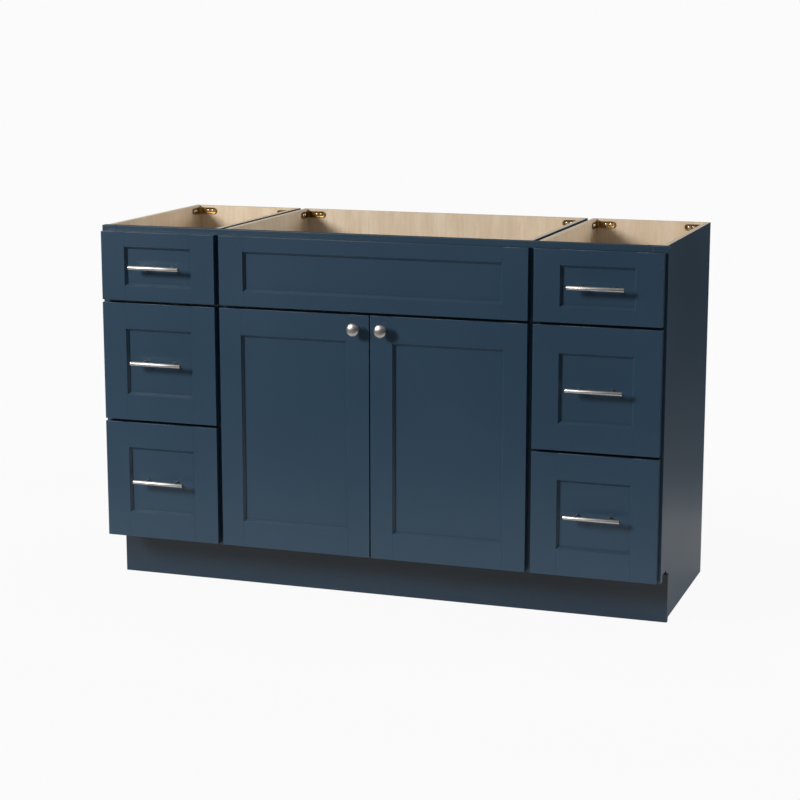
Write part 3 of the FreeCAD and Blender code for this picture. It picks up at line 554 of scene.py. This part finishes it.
def shaker_front(piece, low, high, stile, rail):
    """Two stiles, two rails and a flat panel, with fine lines at the joints."""
    inner_low = Vector((low.x + stile, low.y, low.z + rail))
    inner_high = Vector((high.x - stile, high.y, high.z - rail))

    def on_joint(at):
        beside = abs(at.x - inner_low.x) < ON_PLANE or abs(at.x - inner_high.x) < ON_PLANE
        return beside and not inner_low.z < at.z < inner_high.z

    def on_recess(at):
        upright = abs(at.x - inner_low.x) < ON_PLANE or abs(at.x - inner_high.x) < ON_PLANE
        level = abs(at.z - inner_low.z) < ON_PLANE or abs(at.z - inner_high.z) < ON_PLANE
        return upright or level

    stile_soft = [(on_recess, JOINT_EASE)]
    rail_soft = [(on_joint, JOINT_EASE), (on_recess, BEVEL_EASE)]
    for left, right in ((low.x, inner_low.x), (inner_high.x, high.x)):
        piece.board((left, low.y, low.z), (right, high.y, high.z), UP, DEPTH, FRONT_EASE, stile_soft)
    for under, top in ((low.z, inner_low.z), (inner_high.z, high.z)):
        piece.board((inner_low.x, low.y, under), (inner_high.x, high.y, top), ACROSS, DEPTH,
                    FRONT_EASE, rail_soft)
    seat = Vector((PANEL_SEAT, 0.0, PANEL_SEAT))
    sunk_panel(piece, Vector((inner_low.x, low.y + BEVEL_EASE, inner_low.z)) - seat,
               Vector((inner_high.x, low.y + RECESS + PANEL, inner_high.z)) + seat,
               UP if high.z - low.z > high.x - low.x else ACROSS)


def sunk_panel(piece, low, high, along):
    """A flat panel and the mitred bevels that lead down to it."""
    size = high - low
    shape = Matrix.Translation((low + high) / 2) @ Matrix.Diagonal((size.x, size.y, size.z, 1.0))
    bmesh.ops.create_cube(piece.mesh, size=1.0, matrix=shape)
    faces = set(face for vert in piece.fresh() for face in vert.link_faces)
    outer = [face for face in faces if face.normal.y < -0.5]
    for wide, deep in ((BEVEL_WIDE + PANEL_SEAT, BEVEL_DEEP - BEVEL_EASE), (BEVEL_FOOT, RECESS - BEVEL_DEEP)):
        bmesh.ops.inset_region(piece.mesh, faces=outer, use_boundary=True, use_even_offset=True,
                               thickness=wide, depth=-deep)
    piece.settle(along, DEPTH, low)


def front(node, body, stile, rail):
    """A shaker front, its top and bottom edges darkened with the painted shade of the gaps."""
    piece = Piece(node + "_joinery", [NAVY, GAP_SHADE_NAVY])
    low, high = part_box(node)
    shaker_front(piece, low, high, stile, rail)
    # Top and bottom faces get the navy with painted shade.
    for face in piece.mesh.faces:
        level = face.calc_center_median().z
        if min(abs(level - low.z), abs(level - high.z)) < ON_PLANE:
            face.material_index = 1
    piece.onto(body, "navy_paint", node)


def bar_pull(node, body):
    """A round bar with eased ends on two posts that stand on the flat panel."""
    piece = Piece(node + "_bar_and_posts", [NICKEL])
    low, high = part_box(node)
    middle = (low.x + high.x) / 2
    height = (low.z + high.z) / 2
    half = (high.x - low.x) / 2
    axis_y = low.y + BAR_RADIUS
    ease, third = BAR_END_EASE, 0.3 * BAR_END_EASE
    piece.turned([(0.0, -half), (BAR_RADIUS - ease, -half), (BAR_RADIUS - third, -half + third),
                  (BAR_RADIUS, -half + ease), (BAR_RADIUS, half - ease),
                  (BAR_RADIUS - third, half - third), (BAR_RADIUS - ease, half), (0.0, half)],
                 (middle, axis_y, height), (1, 0, 0))
    rise = high.y - axis_y
    under_bar = rise - BAR_RADIUS
    post = [(0.0, 0.0), (POST_RADIUS, 0.0), (POST_RADIUS, 0.0012), (POST_WAIST, 0.0016),
            (POST_WAIST, under_bar - 0.0016), (POST_RADIUS, under_bar - 0.0012),
            (POST_RADIUS, rise - POST_IN_BAR), (0.0, rise - POST_IN_BAR)]
    for side in (-0.5, 0.5):
        piece.turned(post, (middle + side * POST_PITCH, high.y, height), (0, -1, 0), 32)
    piece.onto(body, "satin_nickel", node)


def door_knob(node, body):
    """A turned mushroom knob: foot, waisted neck and a shallow domed head."""
    piece = Piece(node + "_turned", [NICKEL])
    low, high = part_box(node)
    centre = ((low.x + high.x) / 2, high.y, (low.z + high.z) / 2)
    head = (high.x - low.x) / 2
    rise = high.y - low.y
    foot = [(0.0, 0.0), (0.0088, 0.0), (0.0090, 0.0004), (0.0090, 0.0024), (0.0086, 0.0030)]
    neck = [(0.0072, 0.0034), (0.0063, 0.0048), (0.0060, 0.0075), (0.0061, 0.0140), (0.0066, 0.0164)]
    under_head = [(0.0078, 0.0182), (0.0098, 0.0194), (0.0122, 0.0202), (head - 0.0014, 0.0212),
                  (head - 0.0004, 0.0220)]
    rim_rise = 0.0228
    steps = 14
    turns = [math.radians(90.0 * step / steps) for step in range(steps + 1)]
    dome = [(head * math.cos(turn), rim_rise + (rise - rim_rise) * math.sin(turn)) for turn in turns]
    piece.turned(foot + neck + under_head + dome, centre, (0, -1, 0), 64)
    piece.onto(body, "satin_nickel", node, sharp=50.0)


# ------------------------------------------------------------- drawer boxes

def drawer_box(node, body):
    """Four ply walls and a thin bottom held in grooves."""
    piece = Piece(node + "_walls", [MAPLE, PLY_EDGE])
    low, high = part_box(node)
    for left in (low.x, high.x - PLY):
        piece.board((left, low.y, low.z), (left + PLY, high.y, high.z), DEPTH, ACROSS, BOX_EASE,
                    edge_finish=1)
    for near in (low.y, high.y - PLY):
        piece.board((low.x + PLY, near, low.z), (high.x - PLY, near + PLY, high.z), ACROSS, DEPTH, BOX_EASE,
                    edge_finish=1)
    lift = low.z + DRAWER_BOTTOM_LIFT
    inset = PLY - BOTTOM_IN_GROOVE
    piece.board((low.x + inset, low.y + inset, lift), (high.x - inset, high.y - inset, lift + DRAWER_BOTTOM),
                DEPTH, UP, BOTTOM_EASE)
    piece.onto(body, "maple_plywood", node)


# ------------------------------------------------------------- clips, screws

def bent_strip(reach, wall):
    """Where a clip's strip runs in plan: distances from the side wall and the back.

    It lies on the side wall, swells across the corner in a fold and lies on
    the back.  Each entry ends with how far along its leg it is, or nought.
    """
    legs = [0.0, 0.0006, 0.0016, 0.0032, 0.0054, 0.0085, 0.0125, 0.017, 0.0215, 0.026, 0.030]
    path = [(wall, reach - run, reach - run) for run in legs]
    steps = 8
    for step in range(steps + 1):
        turn = math.radians(90.0 * step / steps)
        swell = CLIP_FOLD * (1.0 - 0.30 * math.sin(2.0 * turn) ** 2)
        path.append((wall + swell * (1.0 - math.cos(turn)) ** 0.8 * 0.95,
                     wall + swell * (1.0 - math.sin(turn)) ** 0.8 * 0.95, 0.0))
    path.extend((reach - run, wall, reach - run) for run in reversed(legs))
    return path


def corner_clips():
    """Bent strips with round ends and a sunk track for the screws in each leg."""
    piece = Piece("corner_clip_pressings", [YELLOW_ZINC])
    mesh = piece.mesh
    for low, high in separate_solids("corner_clips"):
        towards = box_inside((low.x + high.x) / 2)
        corner_x = low.x if towards > 0 else high.x
        middle = (low.z + high.z) / 2
        half = (high.z - low.z) / 2
        reach = high.x - low.x
        path = bent_strip(reach, CLIP_THICK / 2)
        spans = len(path) - 1
        grid = bmesh.ops.create_grid(mesh, x_segments=spans, y_segments=10, size=0.5)["verts"]
        for vert in grid:
            from_side, from_back, run = path[round((vert.co.x + 0.5) * spans)]
            level = 2.0 * vert.co.y
            short = min(half, reach - run) if run else half
            tall = math.sqrt(max(half ** 2 - (half - short) ** 2, 1e-8))
            in_track = 0.019 < run < 0.043 and abs(level) < 0.66
            lift = CLIP_THICK * 0.55 if run and not in_track else 0.0
            if from_side > from_back:
                from_back += lift
            else:
                from_side += lift
            vert.co = (corner_x + towards * from_side, high.y - from_back, middle + level * tall)
        faces = list(set(face for vert in grid for face in vert.link_faces))
        bmesh.ops.recalc_face_normals(mesh, faces=faces)
        bmesh.ops.solidify(mesh, geom=faces, thickness=CLIP_THICK * 0.6)
        for face in set(face for vert in piece.fresh() for face in vert.link_faces):
            face.smooth = True
        piece.settle(ACROSS, DEPTH, low)
    piece.onto("root", "yellow_zinc", "corner_clips", sharp=30.0)


def clip_screws():
    """Pan-head screws with a cross recess, one in each hole of the clips."""
    piece = Piece("corner_clip_pan_heads", [SCREW_STEEL])
    for low, high in separate_solids("corner_clip_screws"):
        size = high - low
        axis = ACROSS if size.x < size.z - 0.001 else DEPTH
        middle = (low + high) / 2
        if axis == DEPTH:
            seat, out = Vector((middle.x, high.y, middle.z)), Vector((0, -1, 0))
        else:
            towards = box_inside(middle.x)
            seat = Vector((low.x if towards > 0 else high.x, middle.y, middle.z))
            out = Vector((towards, 0, 0))
        rise = size[axis]
        under = rise - SCREW_CROWN
        profile = [(0.0, 0.0), (SCREW_SHANK, 0.0), (SCREW_SHANK, under), (SCREW_HEAD - 0.0001, under),
                   (SCREW_HEAD, under + 0.0003), (SCREW_HEAD - 0.0003, under + 0.0009),
                   (SCREW_HEAD - 0.0010, under + 0.0014), (SCREW_FLAT, rise)]
        piece.turned(profile, seat, out, 24)
        cross_recess(piece, seat + out * rise, out, SCREW_FLAT)
    piece.onto("root", "yellow_zinc", "corner_clip_screws")


def box_inside(across):
    """Which way along X a side screw at this place points into its box."""
    for low, high in BOX_SPANS:
        if low - 0.001 < across < high + 0.001:
            return 1 if across < (low + high) / 2 else -1
    return 1


def cross_recess(piece, centre, out, radius):
    """Fill a screw head's open top with a flat that has a cross sunk in it."""
    mesh = piece.mesh
    side = out.orthogonal().normalized()
    up = out.cross(side)
    arm, half = 0.82 * radius, 0.24 * radius
    corners = [(arm, -half), (arm, half), (half, half), (half, arm), (-half, arm), (-half, half),
               (-arm, half), (-arm, -half), (-half, -half), (-half, -arm), (half, -arm), (half, -half)]
    ring = [mesh.verts.new(centre + side * x + up * y) for x, y in corners]
    inner = [mesh.edges.new((ring[index], ring[(index + 1) % len(ring)])) for index in range(len(ring))]
    rim = [edge for edge in mesh.edges if len(edge.link_faces) == 1
           and all(abs((vert.co - centre).length - radius) < ON_PLANE for vert in edge.verts)]
    bmesh.ops.triangle_fill(mesh, use_beauty=True, use_dissolve=False, edges=rim + inner, normal=out)
    sunk = bmesh.ops.extrude_edge_only(mesh, edges=inner)["geom"]
    floor = [item for item in sunk if isinstance(item, bmesh.types.BMVert)]
    for vert in floor:
        vert.co = centre + (vert.co - centre) * 0.6 - out * 0.0008
    base = [item for item in sunk
            if isinstance(item, bmesh.types.BMEdge) and all(vert in floor for vert in item.verts)]
    bmesh.ops.triangle_fill(mesh, use_beauty=True, use_dissolve=False, edges=base, normal=out)
    piece.settle(ACROSS, DEPTH, Vector((0, 0, 0)))


# ------------------------------------------------------------ the whole thing

# How far from the middle the painted faces of the boxes' sides lie.
OUTER_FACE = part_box("drawer_box_outer_sides")[1].x
BANK_FACE = -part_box("left_top_drawer_front")[1].x
SINK_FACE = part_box("sink_box_sides")[1].x
BOX_SPANS = ((-OUTER_FACE, -BANK_FACE), (-SINK_FACE, SINK_FACE), (BANK_FACE, OUTER_FACE))

# The rails behind the gaps between fronts get the navy with painted shade.
for member, run, finish in (
        ("face_frame_end_stiles", UP, NAVY), ("face_frame_mid_stiles", UP, NAVY),
        ("face_frame_top_rail", ACROSS, NAVY), ("face_frame_bottom_rail", ACROSS, NAVY),
        ("face_frame_drawer_rails", ACROSS, GAP_SHADE_NAVY), ("face_frame_sink_rail", ACROSS, GAP_SHADE_NAVY)):
    frame_member(member, run, finish)
toe_board()
box_sides("drawer_box_outer_sides", [OUTER_FACE])
box_sides("drawer_box_inner_sides", [BANK_FACE])
box_sides("sink_box_sides", [SINK_FACE])
ply_boards("drawer_box_backs", UP, DEPTH)
ply_boards("sink_box_back", UP, DEPTH)
ply_boards("drawer_box_floors", DEPTH, UP)
ply_boards("sink_box_floor", ACROSS, UP)
corner_clips()
clip_screws()

front("false_front", "root", DRAWER_STILE, SHALLOW_RAIL)
for hand in HANDS:
    for row in ROWS:
        name = "%s_%s" % (hand, row)
        rides = name + "_drawer"
        front(name + "_drawer_front", rides, DRAWER_STILE, SHALLOW_RAIL if row == "top" else DEEP_RAIL)
        drawer_box(name + "_drawer_box", rides)
        bar_pull(name + "_pull", rides)
    front(hand + "_door", hand + "_door", DOOR_STILE, DEEP_RAIL)
    door_knob(hand + "_door_knob", hand + "_door")

KEPT_FINISHES = (("hinge_plates", HINGE_NICKEL), ("hinge_cups", HINGE_NICKEL),
                 ("slide_cabinet_members", ZINC), ("slide_middle_members", ZINC), ("slide_drawer_members", ZINC),
                 ("slide_spacers", MAPLE_DEEP), ("false_front_blocks", MAPLE_DEEP))
for name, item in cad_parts.items():
    for ending, finish in KEPT_FINISHES:
        if name.endswith(ending):
            item.data.materials.clear()
            item.data.materials.append(finish)


# ------------------------------------------------------------------- studio

WHITE = 0.965  # how bright the floor and the air look to the lens


def studio_floor():
    """A floor the lens sees as white with a faint shadow; gloss sees a painted white glow in front."""
    mesh = bmesh.new()
    bmesh.ops.create_grid(mesh, x_segments=8, y_segments=8, size=9.0)
    data = bpy.data.meshes.new("studio_floor")
    mesh.to_mesh(data)
    mesh.free()
    floor = bpy.data.objects.new("studio_floor", data)
    bpy.context.scene.collection.objects.link(floor)
    material = bpy.data.materials.new("studio_floor_paint")
    material.use_nodes = True
    tree = material.node_tree
    tree.nodes.clear()
    shader = Shader(tree)
    across, back = shader.split(shader.place())[:2]
    beside = (across.size() - SHADE_ACROSS).at_least(0.0)
    beyond = (back.size() - SHADE_BACK).at_least(0.0)
    far = (beside * beside + beyond * beyond) ** 0.5
    near = shader.ramp(far, 0.0, 1.4, 1.0, 0.0)
    # Painted pool of light: the floor's matt colour is pale by the cabinet and falls off to dark far away.
    painted_light_pool = (0.35 / (far.at_least(0.2) ** 1.4)).at_most(0.88)
    floor_colour_with_painted_pool = shader.blend(painted_light_pool, (0.0, 0.0, 0.0, 1.0), (1.0, 1.0, 1.0, 1.0))
    rays = shader.node("ShaderNodeLightPath")
    seen = shader.number(rays.outputs["Is Camera Ray"])
    mirrored = shader.number(rays.outputs["Is Glossy Ray"])
    in_front = shader.ramp(back, -0.45, -0.27, 1.0, 0.0)
    matt = shader.node("ShaderNodeBsdfDiffuse", None, {"Color": floor_colour_with_painted_pool}).outputs[0]
    white = shader.node("ShaderNodeEmission", None, {"Color": (WHITE, WHITE, WHITE, 1.0)}).outputs[0]
    # Painted reflection: glossy rays see the floor in front partly as white emission that lights nothing.
    share = seen * (1.0 - 0.03 * near) + mirrored * near * in_front * 0.35
    mixed = shader.node("ShaderNodeMixShader", None, {0: share, 1: matt, 2: white}).outputs[0]
    shader.node("ShaderNodeOutputMaterial", None, {"Surface": mixed})
    data.materials.append(material)


def studio_air():
    """Pale surroundings: white to the lens, and grey, darker low down, as light.

    Metal and gloss see a sky of their own, a painted reflection that sheds no light:
    darker low down, brighter overhead, and a bright window high on the left.
    """
    world = bpy.data.worlds.new("studio_air")
    bpy.context.scene.world = world
    world.use_nodes = True
    tree = world.node_tree
    tree.nodes.clear()
    shader = Shader(tree)
    right, _, up = shader.split(shader.node("ShaderNodeTexCoord").outputs["Generated"])
    rays = shader.node("ShaderNodeLightPath")
    seen = shader.number(rays.outputs["Is Camera Ray"])
    mirrored = shader.number(rays.outputs["Is Glossy Ray"])
    matt_light = shader.ramp(up, 0.0, 1.0, 0.20, 0.31)
    # Painted reflection: a bright window high on the left that only glossy rays see; it lights nothing.
    painted_window_reflection = shader.ramp(right, -0.45, -0.33, 1.0, 0.0) * shader.ramp(up, 0.4, 0.7)
    mirror_light = shader.ramp(up, 0.05, 0.85, 0.05, 0.35) + painted_window_reflection
    other = (1.0 - seen - mirrored).at_least(0.0)
    strength = seen * WHITE + mirrored * mirror_light + other * matt_light
    glow = shader.node("ShaderNodeBackground", None, {"Color": (1.0, 1.0, 1.0, 1.0), "Strength": strength})
    shader.node("ShaderNodeOutputWorld", None, {"Surface": glow.outputs[0]})


def soft_box(name, place, target, size, watts):
    """A flat square lamp that faces a point."""
    lamp = bpy.data.lights.new(name, "AREA")
    lamp.shape = "SQUARE"
    lamp.size = size
    lamp.energy = watts
    item = bpy.data.objects.new(name, lamp)
    bpy.context.scene.collection.objects.link(item)
    item.location = place
    item.rotation_euler = (Vector(target) - Vector(place)).to_track_quat("-Z", "Y").to_euler()


studio_floor()
studio_air()
soft_box("key_lamp", (-4.4, -5.2, 3.6), (0.0, 0.0, 0.5), 1.8, 520.0)
soft_box("side_lamp", (5.0, 3.5, 2.4), (0.0, 0.0, 0.45), 2.4, 150.0)

camera_data = bpy.data.cameras.new("view_camera")
camera_data.lens = 90.770
camera_data.sensor_width = 36.0
camera_data.clip_end = 60.0
camera = bpy.data.objects.new("view_camera", camera_data)
bpy.context.scene.collection.objects.link(camera)
camera.location = (1.546768, -4.564513, 1.389617)
camera.rotation_euler = (math.radians(90.0 - 11.0500), -0.000156, math.radians(18.8963))
bpy.context.scene.camera = camera
bpy.context.scene.view_settings.view_transform = "Standard"
